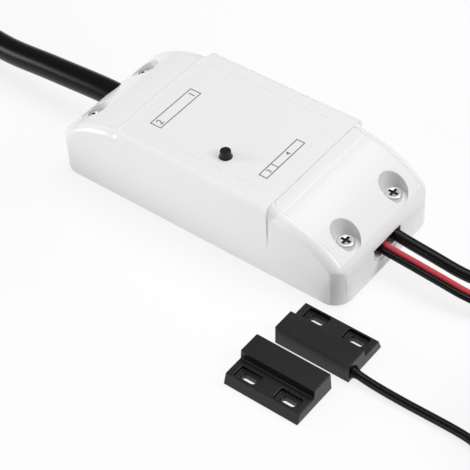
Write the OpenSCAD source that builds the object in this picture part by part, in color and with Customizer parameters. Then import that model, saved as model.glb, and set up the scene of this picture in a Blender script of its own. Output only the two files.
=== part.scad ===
// Garage door controller: a slim relay box with a press button, a mains lead and plug, a bare-ended
// output pair, and a wired reed switch with the magnet that rides on the door.
// Millimetres. The origin is the centre of the case's underside, +X points to the output end, +Z up.

/* [Case] */
// Overall length of the case
case_l = 88; // [86:0.5:94]
// Overall width of the case
case_w = 39; // [37:0.5:42]
// Height to the top of the lid
case_h = 22.4; // [22:0.1:24]
// Thickness of the walls
wall = 2; // [1.6:0.1:2.2]
// Radius of the upright corners
corner_r = 5; // [4:0.5:6]
// Radius round the bottom edge
foot_r = 1.4; // [0.6:0.1:1.5]
// Length of the flat top of the lid
lid_l = 45.8; // [40:0.1:48]
// How far the lid stands above the end covers
lid_rise = 1.6; // [1:0.1:2]
// Run of the ramp from each end of the lid
ramp_l = 2.7; // [1.5:0.1:4]
// Radius along the long edges of the lid
lid_edge_r = 1.7; // [1:0.1:2]
// How far the lid stands out past the end walls on each side
lid_proud = 0.3; // [0.1:0.1:0.5]
// Radius of the long curve down each end
end_arc_r = 27.6; // [26:0.2:32]
// Radius where that curve turns into the end wall
end_round_r = 8; // [6:0.5:9]
// Radius along the rims beside the end covers
rim_r = 2.6; // [1.5:0.1:3]

/* [End covers] */
// Width of the rim left on each side of an end cover
rim_w = 3; // [2.5:0.1:3.5]
// Height of the case wall below an end cover
sill_z = 4.5; // [4:0.1:5.5]
// Gap round an end cover
seam = 0.1; // [0.05:0.05:0.2]
// Distance of the screws from the end of the case
screw_in = 5.3; // [5:0.1:6.5]
// Half the distance between the two screws of a cover
screw_y = 9.8; // [9.5:0.1:10.5]
// Radius of a screw well
well_r = 3.6; // [3.2:0.1:3.8]
// Height of the seat that a screw head rests on
seat_z = 12.1; // [11.8:0.1:13]
// Width of the output slot
slot_w = 10.8; // [10.4:0.2:12]
// Height of the top of the output slot
slot_top = 9.4; // [9.3:0.1:10.2]

/* [Screws] */
// Diameter of a screw head
head_d = 4.5; // [4:0.1:5]
// Height of a screw head
head_h = 1.7; // [1.4:0.1:2]
// Diameter of a screw's thread
thread_d = 2.2; // [2:0.1:2.5]
// Length of a screw's thread
thread_l = 8; // [6:0.5:9]

/* [Button] */
// Distance of the button from the middle of the case, along it
button_x = 4.1; // [3:0.1:5]
// Distance of the button from the middle of the case, across it
button_y = -10.3; // [-11.2:0.1:-10]
// Diameter of the button
button_d = 3.1; // [2.8:0.1:3.4]
// Diameter at the top of the button
button_tip_d = 2.6; // [2.2:0.1:3]
// How far the button stands above the lid
button_rise = 1.9; // [1.5:0.1:2.5]
// How far the button goes in
button_travel = 0.3; // [0.2:0.05:0.4]

/* [Sensor pair] */
// Length of a sensor housing
sensor_l = 20.8; // [20:0.2:24]
// Depth of a sensor housing with its flange
sensor_depth = 13.2; // [12.6:0.1:14]
// Depth of the raised block
block_depth = 6.7; // [6.4:0.1:7]
// Height of the raised block
block_h = 5.3; // [5.2:0.1:6]
// Height of the flange
flange_h = 2.9; // [2.7:0.1:3.2]
// Distance between the two slots of a flange
slot_pitch = 11.2; // [10.5:0.1:12]
// Width of a screw slot
slot_wide = 1.6; // [1.5:0.1:2.2]
// Length of a screw slot
slot_long = 4; // [3.6:0.1:4.4]
// Middle of the reed housing along X
reed_x = 47.1; // [44:0.1:48]
// Front of the reed housing along Y
reed_y = -35.4; // [-36:0.1:-34]
// Middle of the magnet housing along X
magnet_x = 45; // [42:0.1:46]
// Back of the magnet housing along Y
magnet_y = -38.8; // [-40.5:0.1:-38.5]

/* [Cords] */
// Diameter of the mains lead
mains_d = 6.9; // [6.4:0.1:7]
// Diameter of the sensor cable
cable_d = 3; // [2.6:0.1:3]
// Diameter of one wire of the output pair
wire_d = 1.65; // [1.5:0.05:1.7]
// Bare end of an output wire
bare_l = 7; // [5:0.5:9]

/* [Plug] */
// Width of the plug
plug_w = 35.3; // [34:0.1:36]
// Thickness of the plug
plug_t = 13.7; // [13:0.1:14.5]
// Length of the plug without its pins
plug_l = 36; // [34:0.5:38]
// Length of the plug's strain relief
relief_l = 40; // [34:1:42]
// Diameter of a pin
pin_d = 4; // [3.8:0.1:4.2]
// Length of a pin
pin_l = 19; // [18:0.5:19.5]
// Distance between the pins
pin_pitch = 18.6; // [17.5:0.1:19]

/* [Fineness] */
// Facets of a full circle
$fn = 64; // [32:16:96]

/* [Hidden] */

white = [0.93, 0.93, 0.93];
black = [0.1, 0.1, 0.11];
steel = [0.75, 0.76, 0.78];
green = [0.1, 0.36, 0.22];
grey = [0.5, 0.5, 0.52];

fit = 0.1;              // gap between parts that don't move against each other
slide = 0.15;           // gap on each side of a part that slides
over = 1;               // how far a cutter runs past what it cuts

// The case's side outline: the long curve and the rounding that ends it
end_w = case_w - 2 * lid_proud;
end_top = case_h - lid_rise;
arc_x = lid_l / 2;
arc_z = end_top - end_arc_r;
round_x = case_l / 2 - end_round_r;
round_z = arc_z + sqrt(pow(end_arc_r - end_round_r, 2) - pow(round_x - arc_x, 2));
blend = atan2(round_z - arc_z, round_x - arc_x);
crossing = 0.1;         // extra radius that makes the two end curves cross instead of just touching

// The ramp from the lid down to the long curve, which it runs into
lid_step = 0.2;
ramp_bite = 0.4;
ramp_top = case_h - lid_step;
ramp_x = arc_x + ramp_l;
ramp_foot = end_top - ramp_bite;
ramp_angle = atan2(ramp_top - ramp_foot, ramp_l);
ramp_half = end_w / 2 - crossing;

// End covers and the room inside
cover_x = lid_l / 2;
cover_half = case_w / 2 - rim_w;
cover_wall = wall - 0.2;
cover_corner_r = 1;
cavity_l = case_l - 2 * wall;
cavity_w = end_w - 2 * wall;
cavity_r = corner_r - wall;
roof_z = case_h - wall;
roof_l = lid_l + ramp_l;

// Label frame on the lid
frame_from = -20.5;
frame_to = 18.8;
frame_half = 14.8;
frame_line = 0.35;
frame_depth = 0.12;
frame_r = 1;

// Base plate and what stands on it
base_t = wall;
post_r = 2.7;
well_wall = 1.3;
seat_t = 1.6;
screw_x = case_l / 2 - screw_in;
post_top = seat_z - seat_t;
pilot_r = thread_d / 2 + 0.05;
hole_r = thread_d / 2 + 0.2;
head_edge_r = 0.5;
cross_w = 0.7;
cross_l = 2.6;
cross_depth = 0.8;

// Circuit board
board_gap = 1.6;
board_t = 1.6;
board_z = base_t + board_gap + board_t;
board_end_gap = 1.8;
board_side_gap = 0.6;
board_l = 2 * (screw_x - post_r - board_end_gap);
board_w = cavity_w - 2 * board_side_gap;
peg_r = 2.2;
peg_tip_r = 1.1;
peg_tip_z = board_z - 2 * fit;
peg_in = 13;
peg_x = board_l / 2 - peg_in;
peg_y = board_w / 2 - peg_r - 2 * slide;

// Terminals at the two ends of the board
terminal_l = 7;
terminal_w = 7.6;
terminal_h = 10;
way_pitch = 3.5;
way_w = 2.4;
way_z = 3.2;
terminal_x = board_l / 2 - terminal_l / 2;
terminal_screw_d = 2.6;
terminal_screw_h = 1.8;
terminal_notch = 0.6;
terminal_well = 2.4;

// Places and sizes of what stands on the board
relay_at = [10.5, 6];
relay_size = [19, 15.2, 14.4];
transformer_at = [-8, 6];
winding_size = [10, 9, 10.5];
core_size = [12.6, 12, 4];
core_z = 3.2;
input_cap_at = [-19, -5.5];
input_cap_d = 8;
input_cap_h = 13;
output_cap_at = [-9, -6.5];
output_cap_d = 6.3;
output_cap_h = 11;
film_cap_at = [-18.5, 6];
film_cap_size = [5, 13, 11];
varistor_at = [-25, -11];
varistor_d = 8;
varistor_t = 3.6;
radio_at = [16, -9.4];
radio_size = [17, 11.6, 1];
shield_at = [17.5, -9.4];
shield_size = [12, 9, 2.2];
lamp_at = [-3, -11.5];
lamp_r = 1.5;
lamp_h = 4;
lamp_rim = 0.3;
socket_y = 6.8;
socket_size = [5.2, 5.8, 4.8];

// The switch under the button
switch_w = 6;
switch_h = 3.6;
plate_t = 0.3;
chamber_r = 2.4;
dome_h = 0.4;
dome_top_r = 1.2;
flange_r = 2.1;
flange_t = 1;
switch_top = board_z + switch_h;
flange_z = switch_top - plate_t - flange_t - fit;
chamber_z = flange_z - button_travel - fit - dome_h;
button_hole_r = button_d / 2 + slide;

// Sensor housings
slot_in = 3.3;
slot_y = sensor_depth - slot_in;
recess_l = 6;
recess_w = 3.5;
recess_depth = 1;
recess_r = 0.4;
flange_draft = 1;
block_draft = 0.3;
pocket_l = sensor_l - 4;
pocket_in = 1.2;
pocket_w = block_depth - 2 * pocket_in - block_draft;
pocket_top = block_h - 1.2;
floor_t = 0.9;
pocket_y = pocket_in + pocket_w / 2;
glass_r = 1.15;
glass_wall = 0.35;
glass_l = pocket_l - 2;
glass_z = floor_t + glass_r + 0.2;
blade_t = 0.2;
blade_w = 0.7;
blade_lap = 0.8;
blade_gap = 0.1;
magnet_in = 1;
cable_in_y = 2.1;
cable_in_l = 1.8;
cable_in_z = cable_d / 2 + 0.4;

// Where the cords leave the case
mains_y = 1.5;
mains_z = 10.4;
sheath_in = 7;
sheath_x = -case_l / 2 + sheath_in;
core_d = 2;
core_in = 3;
slot_mid = -0.2;
slot_bottom = 5.8;

// Coils: each one spirals in and out again by layers
tie_t = 0.6;
tie_w = 6;
tie_gap = 0.2;
coil_z = 2 * tie_gap + tie_t;
ring_step = 24;

// Sides of a lead, a thin cable and a coil
lead_sides = 12;
cable_sides = 8;
coil_sides = 6;

mains_at = [-158, -20];
mains_in_r = 28;
mains_pitch = mains_d + 1.7;      // wide enough for the turns to climb past each other
mains_loops = 1.5;
mains_layer = mains_d + 0.5;
mains_out_r = mains_in_r + mains_loops * mains_pitch;

cable_at = [112, -16];
cable_in_r = 10;
cable_pitch = cable_d + 1;
cable_loops = 3.5;
cable_layer = cable_d + 0.5;
cable_out_r = cable_in_r + cable_loops * cable_pitch;
cable_layers = 4;

// Routes of the free stretches, whose ends run straight
end_run = 2;
ahead = [end_run, 0, 0];
mains_entry = [mains_at.x + mains_d, mains_at.y + mains_out_r, coil_z + mains_d / 2 + mains_layer];
mains_exit = [mains_at.x + mains_d, mains_at.y - mains_out_r, coil_z + mains_d / 2];
sheath_end = [sheath_x, mains_y, mains_z];
mains_route = [sheath_end - ahead, [-48, mains_y, 10.3], [-65, mains_y, 9.1], [-84, mains_y + 0.4, 7.5],
    [-104, 5, 7.8], [-122, 11.5, 9.4], [-138, 18, 11.2], mains_entry + ahead];
plug_z = plug_t / 2 + tie_gap;
tail_l = 12;
relief_x = mains_exit.x + tail_l;
relief_end = [relief_x, mains_exit.y, plug_z];

cable_entry = [cable_at.x - cable_d, cable_at.y + cable_out_r,
    coil_z + cable_d / 2 + (cable_layers - 1) * cable_layer];
cable_exit = [cable_at.x - cable_d, cable_at.y - cable_out_r, coil_z + cable_d / 2];
reed_end = [reed_x + sensor_l / 2 - cable_in_l, reed_y + cable_in_y, cable_in_z];
socket_end = [board_l / 2 + fit, 5.2, 8.4];
cable_route = [socket_end + ahead, [39, 4.4, 8.1], [44, 3.5, 7.6], [54, 3.6, 6.3], [64, 4, 5],
    [75, 5.7, 4.8], [86, 8.2, 4.8], [95, 9.3, 7.2], [102, 8.9, 11], cable_entry - ahead];
reed_route = [cable_exit - ahead, [102, -39.6, 2.2], [97, -37.6, 1.8], [91.5, -34.4, 1.6], [86, -33.2, 1.6],
    [71, -33.2, 1.6], [63, -33.3, 1.8], reed_end + ahead];

pair_gap = wire_d + fit;
strand_d = wire_d * 0.6;
pair_route = [[44, -1.4, 7], [52, -1.4, 6.4], [60, -1.4, 5.7], [67, -1.2, 4.9], [74, 0.8, 3.2],
    [80.5, 4.9, 1.9], [86.5, 10.6, 1.3], [93.5, 16.5, 1.2], [102, 20.2, 1.2], [112, 21.4, 1.2],
    [122, 19.6, 1.2], [131.5, 14.2, 1.2], [138.6, 6, 1.2], [142.4, -4.5, 1.2], [142.8, -15.5, 1.2],
    [140.4, -26.5, 1.2], [134.8, -36.5, 1.2], [126.5, -44, 1.2]];

// Points of a smooth line through a route, with the given number of steps between neighbours
function bend(p, steps) = let (n = len(p) - 1) concat([for (i = [0:n - 1], k = [0:steps - 1])
    let (t = k / steps, a = p[max(i - 1, 0)], b = p[i], c = p[i + 1], d = p[min(i + 2, n)])
    b + 0.5 * t * ((c - a) + t * ((2 * a - 5 * b + 4 * c - d) + t * (3 * b - a - 3 * c + d)))], [p[n]]);

function unit(v) = v / norm(v);
function heading(p, i) = unit(p[min(i + 1, len(p) - 1)] - p[max(i - 1, 0)]);
function beside(p, i) = let (h = heading(p, i)) unit([-h.y, h.x, 0]);
function run(p) = len(p) < 2 ? 0 : sum([for (i = [1:len(p) - 1]) norm(p[i] - p[i - 1])]);
function sum(v, i = 0) = i == len(v) ? 0 : v[i] + sum(v, i + 1);

// Line beside a route, at the given distance to its left
function shifted(p, by) = [for (i = [0:len(p) - 1]) p[i] + by * beside(p, i)];

// Points of a coil: it spirals in, climbs a layer in half a turn, spirals out, and so on
function ease(t) = t * t * (3 - 2 * t);
function layer_of(t, loops) = floor(t / (loops + 0.5));
function part_of(t, loops) = t - layer_of(t, loops) * (loops + 0.5);
function coil_r(t, loops, r_in, r_out) = let (k = layer_of(t, loops), u = min(part_of(t, loops) / loops, 1))
    k % 2 == 0 ? r_out + (r_in - r_out) * u : r_in + (r_out - r_in) * u;
function coil_up(t, loops) = layer_of(t, loops) + ease(max(0, part_of(t, loops) - loops) / 0.5);
function coil_line(at, z, loops, layers, r_in, r_out, start, turn, rise, d) =
    let (turns = layers * loops + (layers - 1) / 2, steps = ring_step * turns,
        p = [for (i = [0:steps]) let (t = min(i / ring_step, turns - 0.0001), a = start + turn * 360 * t)
            [at.x + coil_r(t, loops, r_in, r_out) * cos(a), at.y + coil_r(t, loops, r_in, r_out) * sin(a),
            z + rise * coil_up(t, loops)]],
        first = [-turn * -sin(start), -turn * cos(start), 0], last = start + turn * 360 * turns)
    concat([p[0] + d * first], p, [p[len(p) - 1] + d * turn * [-sin(last), cos(last), 0]]);

// Least gap between stretches of a coil that are more than half a turn apart
function least_gap(p, d) = min([for (i = [0:len(p) - 1], j = [i + ring_step / 2 + 1:1:len(p) - 1])
    norm(p[i] - p[j])]) - d;

mains_line = concat([sheath_end], bend(mains_route, 2), [mains_entry]);
mains_tail_line = [mains_exit, mains_exit + ahead, (mains_exit + relief_end) / 2, relief_end - ahead,
    relief_end];
cable_line = concat([socket_end], bend(cable_route, 2), [cable_entry]);
reed_line = concat([cable_exit], bend(reed_route, 2), [reed_end]);
pair_line = bend(pair_route, 2);
function wire_line(side) = concat([[board_l / 2 - core_in, side * way_pitch / 2, board_z + way_z],
    [board_l / 2 + 1, side * way_pitch / 2, board_z + way_z], [39.5, side * 1.2 - 0.7, 7.7]],
    shifted(pair_line, side * pair_gap / 2));
mains_coil_line = coil_line(mains_at, mains_entry.z, mains_loops, 2, mains_in_r, mains_out_r, 90, 1,
    -mains_layer, mains_d);
cable_coil_line = coil_line(cable_at, cable_entry.z, cable_loops, cable_layers, cable_in_r, cable_out_r,
    90, -1, -cable_layer, cable_d);

echo(mains_coil_gap = least_gap(mains_coil_line, mains_d));
echo(sensor_coil_gap = least_gap(cable_coil_line, cable_d));
echo(mains_length = run(mains_line) + run(mains_coil_line) + run(mains_tail_line));
echo(sensor_length = run(cable_line) + run(cable_coil_line) + run(reed_line));
echo(pair_length = run(pair_line) + bare_l);

// Tube with flat sides along a line of points
module tube(p, d, sides) {
    n = len(p);
    points = [for (i = [0:n - 1], k = [0:sides - 1])
        let (b = beside(p, i), u = cross(heading(p, i), b), a = 360 * (k + 0.5) / sides)
        p[i] + d / 2 * (cos(a) * b + sin(a) * u)];
    walls = [for (i = [0:n - 2], k = [0:sides - 1], half = [0, 1])
        let (m = (k + 1) % sides, at = i * sides)
        half == 0 ? [at + k, at + sides + m, at + m] : [at + k, at + sides + k, at + sides + m]];
    caps = [for (k = [1:sides - 2], end = [0, 1])
        let (at = (n - 1) * sides) end == 0 ? [0, k, k + 1] : [at, at + k + 1, at + k]];
    polyhedron(points, concat(walls, caps), convexity = 10);
}

module both_ends() {
    children();
    mirror([1, 0, 0]) children();
}

module both_sides() {
    children();
    mirror([0, 1, 0]) children();
}

// Turns a flat outline in X and Z into a solid of the given width, centred on Y
module across(w) {
    rotate([90, 0, 0]) linear_extrude(w, center = true) children();
}

// Rectangle with round corners, centred
module round_rect(l, w, r) {
    square([l - 2 * r, w], center = true);
    square([l, w - 2 * r], center = true);
    for (x = [-1, 1], y = [-1, 1]) translate([x * (l / 2 - r), y * (w / 2 - r)]) circle(r);
}

// Slot outline with round ends, centred, long along X
module stadium(l, w) {
    square([l - w, w], center = true);
    for (s = [-1, 1]) translate([s * (l - w) / 2, 0]) circle(d = w);
}

// Everything in X and Z except the corner that the end rounding takes off
module all_but_corner() {
    far = 2 * case_l;
    polygon([[0, -over], [far, -over], [far, round_z], [round_x, round_z],
        [round_x + far * cos(blend), round_z + far * sin(blend)], [0, far]]);
}

// Outline of the curves at one end of the case in X and Z, taken in by a wall
module end_outline(inset) {
    intersection() {
        translate([arc_x, arc_z]) circle(end_arc_r - inset);
        translate([0, -over]) square([case_l / 2 - inset, 2 * case_h]);
        union() {
            all_but_corner();
            translate([round_x, round_z]) circle(end_round_r + crossing - inset);
        }
    }
}

// Outline of the ramp in X and Z, taken in by a wall
module ramp_outline(inset) {
    drop = inset / cos(ramp_angle);
    back = arc_x - ramp_l;
    polygon([[back, 0], [back, ramp_top - drop], [arc_x, ramp_top - drop], [ramp_x, ramp_foot - drop],
        [ramp_x, 0]]);
}

// Half of a rim's section, round at its outer edge
module rim_section(r) {
    square([r - rim_r, end_w / 2]);
    square([r, end_w / 2 - rim_r]);
    translate([r - rim_r, end_w / 2 - rim_r]) circle(rim_r);
}

// Wheel about an axis across the case, as wide as the end walls and round at its rims
module wheel(x, z, r) {
    translate([x, 0, z]) rotate([90, 0, 0]) rotate_extrude() {
        rim_section(r);
        mirror([0, 1]) rim_section(r);
    }
}

// Slab with upright round corners and a round bottom edge
module slab(h) {
    for (x = [-1, 1], y = [-1, 1])
        translate([x * (case_l / 2 - corner_r), y * (case_w / 2 - corner_r), 0]) rotate_extrude()
            intersection() {
                foot_outline(corner_r, h);
                square([corner_r, h]);
            }
    across(case_w - 2 * corner_r) foot_outline(case_l / 2, h);
    rotate([0, 0, 90]) across(case_l - 2 * corner_r) foot_outline(case_w / 2, h);
}

// Upright section with the two bottom corners round
module foot_outline(half, h) {
    translate([-half, foot_r]) square([2 * half, h - foot_r]);
    translate([foot_r - half, 0]) square([2 * (half - foot_r), h]);
    for (s = [-1, 1]) translate([s * (half - foot_r), foot_r]) circle(foot_r);
}

// Upright section with its top at zero and the two top corners round
module rail_section(half, r) {
    deep = 2 * case_h;
    translate([-half, -deep]) square([2 * half, deep - r]);
    translate([r - half, -deep]) square([2 * (half - r), deep]);
    for (s = [-1, 1]) translate([s * (half - r), -r]) circle(r);
}

// Lid with round long edges
module lid() {
    intersection() {
        translate([0, 0, case_h]) rotate([90, 0, 90]) linear_extrude(lid_l, center = true)
            rail_section(case_w / 2, lid_edge_r);
        translate([-lid_l, -case_w, 0]) cube([2 * lid_l, 2 * case_w, 2 * case_h]);
    }
}

// Ramp from an end of the lid down to the long curve, with round sides
module ramp() {
    intersection() {
        across(case_w) ramp_outline(0);
        translate([arc_x, 0, ramp_top]) rotate([0, ramp_angle, 0]) rotate([90, 0, 90])
            linear_extrude(case_l, center = true) rail_section(ramp_half, rim_r);
    }
}

// Outside of the whole case
module case_outside() {
    intersection() {
        slab(case_h + over);
        union() {
            lid();
            both_ends() {
                intersection() {
                    wheel(arc_x, arc_z, end_arc_r);
                    translate([arc_x - over, -case_w / 2, -over])
                        cube([case_l / 2 - arc_x + over, case_w, 2 * case_h]);
                    union() {
                        across(case_w) all_but_corner();
                        wheel(round_x, round_z, end_round_r + crossing);
                    }
                }
                ramp();
            }
        }
    }
}

// Room inside the case, open below
module case_room() {
    intersection() {
        across(cavity_w) {
            end_outline(wall);
            mirror([1, 0]) end_outline(wall);
            translate([-roof_l / 2, -over]) square([roof_l, roof_z + over]);
        }
        translate([0, 0, -over]) linear_extrude(case_h + over) round_rect(cavity_l, cavity_w, cavity_r);
    }
}

// Plan of an end cover, taken in by a gap
module cover_plan(gap) {
    from = cover_x + gap;
    half = cover_half - gap;
    translate([from + cover_corner_r, -half]) square([case_l, 2 * half]);
    translate([from, cover_corner_r - half]) square([case_l, 2 * (half - cover_corner_r)]);
    for (s = [-1, 1]) translate([from + cover_corner_r, s * (half - cover_corner_r)])
        circle(cover_corner_r);
}

// Shell of an end cover with its two screw wells
module cover_shell() {
    intersection() {
        union() {
            across(case_w) end_outline(0);
            across(case_w) ramp_outline(0);
        }
        linear_extrude(2 * case_h) round_rect(case_l, case_w, corner_r);
        translate([0, 0, sill_z + seam]) linear_extrude(case_h) cover_plan(seam);
        union() {
            difference() {
                translate([0, -case_w / 2, 0]) cube([case_l, case_w, case_h]);
                across(2 * case_w) end_outline(cover_wall);
                across(2 * case_w) ramp_outline(cover_wall);
            }
            both_sides() translate([screw_x, screw_y, post_top])
                cylinder(h = case_h, r = well_r + well_wall);
        }
    }
}

module cover_wells() {
    both_sides() translate([screw_x, screw_y, 0]) {
        translate([0, 0, seat_z]) cylinder(h = case_h, r = well_r);
        cylinder(h = case_h, r = hole_r);
    }
}

// Shallow rectangle line
module frame_outline() {
    mid = (frame_from + frame_to) / 2;
    span = frame_to - frame_from;
    translate([mid, 0]) difference() {
        round_rect(span, 2 * frame_half, frame_r);
        round_rect(span - 2 * frame_line, 2 * (frame_half - frame_line), frame_r - frame_line);
    }
}

module upper_case() {
    color(white) {
        difference() {
            case_outside();
            case_room();
            both_ends() translate([0, 0, sill_z]) linear_extrude(case_h) cover_plan(0);
            translate([button_x, button_y, roof_z - over]) cylinder(h = wall + 2 * over, r = button_hole_r);
            translate([0, 0, case_h - frame_depth]) linear_extrude(over) frame_outline();
        }
        // Cradle under the mains lead, in the notch of the input cover
        difference() {
            translate([-case_l / 2 + fit, mains_y - mains_d / 2, sill_z - over])
                cube([wall - fit, mains_d, mains_z - mains_d / 4 - sill_z + over]);
            translate([-case_l / 2, mains_y, mains_z]) rotate([0, 90, 0])
                cylinder(h = 2 * wall + over, r = mains_d / 2 + fit, center = true);
        }
        // Raised sill in the slot of the output cover
        translate([case_l / 2 - wall, slot_mid - slot_w / 2 + fit, sill_z - over])
            cube([wall - fit, slot_w - 2 * fit, slot_bottom - sill_z + over]);
    }
}

module base_plate() {
    color(white) difference() {
        union() {
            linear_extrude(base_t) round_rect(cavity_l - 2 * fit, cavity_w - 2 * fit, cavity_r - fit);
            both_ends() both_sides() {
                translate([screw_x, screw_y, 0]) cylinder(h = post_top, r = post_r);
                translate([peg_x, peg_y, 0]) cylinder(h = board_z - board_t, r = peg_r);
                translate([peg_x, peg_y, 0]) cylinder(h = peg_tip_z, r = peg_tip_r);
            }
        }
        both_ends() both_sides() translate([screw_x, screw_y, base_t])
            cylinder(h = case_h, r = pilot_r);
    }
}

module input_cover() {
    color(white) mirror([1, 0, 0]) difference() {
        cover_shell();
        cover_wells();
        translate([case_l / 2, mains_y, mains_z]) rotate([0, 90, 0])
            cylinder(h = 2 * (sheath_in + fit), r = mains_d / 2 + fit, center = true);
        translate([case_l / 2 - 2 * wall, mains_y - mains_d / 2 - fit, 0])
            cube([4 * wall, mains_d + 2 * fit, mains_z]);
    }
}

module output_cover() {
    color(white) difference() {
        cover_shell();
        cover_wells();
        translate([case_l / 2 - 2 * wall, slot_mid - slot_w / 2, 0]) cube([4 * wall, slot_w, slot_top]);
    }
}

module cover_screws() {
    color(steel) both_ends() both_sides() translate([screw_x, screw_y, seat_z]) {
        difference() {
            rotate_extrude() {
                square([head_d / 2 - head_edge_r, head_h]);
                square([head_d / 2, head_h - head_edge_r]);
                translate([head_d / 2 - head_edge_r, head_h - head_edge_r]) circle(head_edge_r);
            }
            for (a = [0, 90]) rotate([0, 0, a]) translate([-cross_l / 2, -cross_w / 2, head_h - cross_depth])
                cube([cross_l, cross_w, over]);
        }
        translate([0, 0, -thread_l]) cylinder(h = thread_l, r = thread_d / 2);
    }
}

module circuit_board() {
    color(green) difference() {
        translate([-board_l / 2, -board_w / 2, board_z - board_t]) cube([board_l, board_w, board_t]);
        both_ends() both_sides() translate([peg_x, peg_y, 0]) cylinder(h = case_h, r = peg_tip_r + fit);
    }
}

// Block standing on the board
module on_board(at, size) {
    translate([at.x - size.x / 2, at.y - size.y / 2, board_z]) cube(size);
}

module relay() {
    color([0.15, 0.3, 0.6]) on_board(relay_at, relay_size);
}

module transformer() {
    color([0.85, 0.75, 0.3]) {
        on_board(transformer_at, winding_size);
        translate([0, 0, core_z]) on_board(transformer_at, core_size);
    }
}

module input_capacitor() {
    color([0.15, 0.15, 0.2]) translate([input_cap_at.x, input_cap_at.y, board_z])
        cylinder(h = input_cap_h, d = input_cap_d);
}

module output_capacitor() {
    color([0.15, 0.15, 0.2]) translate([output_cap_at.x, output_cap_at.y, board_z])
        cylinder(h = output_cap_h, d = output_cap_d);
}

module film_capacitor() {
    color([0.8, 0.6, 0.1]) on_board(film_cap_at, film_cap_size);
}

module varistor() {
    color([0.1, 0.3, 0.6]) translate([varistor_at.x, varistor_at.y, board_z + varistor_d / 2])
        rotate([90, 0, 0]) cylinder(h = varistor_t, d = varistor_d, center = true);
}

module radio_module() {
    color(green) on_board(radio_at, radio_size);
}

module radio_shield() {
    color(steel) translate([0, 0, radio_size.z]) on_board(shield_at, shield_size);
}

module status_lamp() {
    color([0.85, 0.9, 0.95]) translate([lamp_at.x, lamp_at.y, board_z]) {
        cylinder(h = lamp_h, r = lamp_r);
        translate([0, 0, lamp_h]) sphere(lamp_r);
        cylinder(h = lamp_h / 4, r = lamp_r + lamp_rim);
    }
}

// Two-way screw terminal with its openings facing +X
module terminal(y) {
    difference() {
        on_board([terminal_x, y], [terminal_l, terminal_w, terminal_h]);
        for (s = [-1, 1]) translate([terminal_x, y + s * way_pitch / 2, board_z]) {
            translate([0, -way_w / 2, way_z - way_w / 2]) cube([terminal_l, way_w, way_w]);
            translate([0, 0, terminal_h - terminal_well])
                cylinder(h = terminal_h, d = terminal_screw_d + 2 * fit);
        }
    }
}

module input_terminal() {
    color([0.2, 0.5, 0.3]) mirror([1, 0, 0]) terminal(mains_y);
}

module output_terminal() {
    color([0.2, 0.5, 0.3]) terminal(0);
}

module terminal_screws() {
    color(steel) for (t = [[-1, mains_y], [1, 0]], s = [-1, 1])
        translate([t[0] * terminal_x, t[1] + s * way_pitch / 2, board_z + terminal_h - terminal_well])
            difference() {
                cylinder(h = terminal_screw_h, d = terminal_screw_d);
                translate([-terminal_screw_d, -terminal_notch / 2, terminal_screw_h - terminal_notch])
                    cube([2 * terminal_screw_d, terminal_notch, over]);
            }
}

module sensor_socket() {
    color(white) on_board([(board_l - socket_size.x) / 2, socket_y], socket_size);
}

module mains_cores() {
    color([0.4, 0.25, 0.15]) for (s = [-1, 1])
        translate([-board_l / 2 + core_in, mains_y + s * way_pitch / 2, board_z + way_z]) rotate([0, -90, 0])
            cylinder(h = -sheath_x - board_l / 2 + core_in, d = core_d);
}

module switch_body() {
    color(black) translate([button_x, button_y, 0]) difference() {
        translate([-switch_w / 2, -switch_w / 2, board_z]) cube([switch_w, switch_w, switch_h - plate_t]);
        translate([0, 0, chamber_z]) cylinder(h = switch_h, r = chamber_r);
    }
}

module switch_dome() {
    color(steel) translate([button_x, button_y, chamber_z])
        cylinder(h = dome_h, r1 = flange_r, r2 = dome_top_r);
}

module switch_plate() {
    color(steel) translate([button_x, button_y, switch_top - plate_t]) difference() {
        translate([-switch_w / 2, -switch_w / 2, 0]) cube([switch_w, switch_w, plate_t]);
        translate([0, 0, -over]) cylinder(h = 2 * over + plate_t, r = button_hole_r);
    }
}

module button() {
    color(black) translate([button_x, button_y, 0]) {
        translate([0, 0, flange_z]) cylinder(h = flange_t, r = flange_r);
        translate([0, 0, flange_z]) cylinder(h = case_h - flange_z, d = button_d);
        translate([0, 0, case_h]) cylinder(h = button_rise, d1 = button_d, d2 = button_tip_d);
    }
}

// Housing of a sensor: a block in front, a slotted flange behind, a pocket from below
module sensor_housing() {
    difference() {
        rotate([90, 0, 90]) linear_extrude(sensor_l, center = true)
            polygon([[0, 0], [sensor_depth, 0], [sensor_depth - flange_draft, flange_h],
                [block_depth, flange_h], [block_depth - block_draft, block_h], [block_draft, block_h]]);
        for (s = [-1, 1]) translate([s * slot_pitch / 2, slot_y, -over]) {
            linear_extrude(flange_h + 2 * over) stadium(slot_long, slot_wide);
            translate([0, 0, over + flange_h - recess_depth]) linear_extrude(flange_h)
                round_rect(recess_l, recess_w, recess_r);
        }
        translate([-pocket_l / 2, pocket_in, -over]) cube([pocket_l, pocket_w, pocket_top + over]);
    }
}

module sensor_plate() {
    translate([-pocket_l / 2 + fit, pocket_in + fit, 0])
        cube([pocket_l - 2 * fit, pocket_w - 2 * fit, floor_t]);
}

module at_reed() {
    translate([reed_x, reed_y, 0]) children();
}

module at_magnet() {
    translate([magnet_x, magnet_y, 0]) mirror([0, 1, 0]) children();
}

module reed_housing() {
    color(black) at_reed() difference() {
        sensor_housing();
        translate([pocket_l / 2 - over, cable_in_y, cable_in_z]) rotate([0, 90, 0])
            cylinder(h = sensor_l, r = cable_d / 2 + fit);
    }
}

module reed_plate() {
    color(grey) at_reed() sensor_plate();
}

module reed_glass() {
    color([0.6, 0.75, 0.7]) at_reed() translate([0, pocket_y, glass_z]) rotate([0, 90, 0]) difference() {
        cylinder(h = glass_l, r = glass_r, center = true);
        cylinder(h = glass_l + over, r = glass_r - glass_wall, center = true);
    }
}

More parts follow.
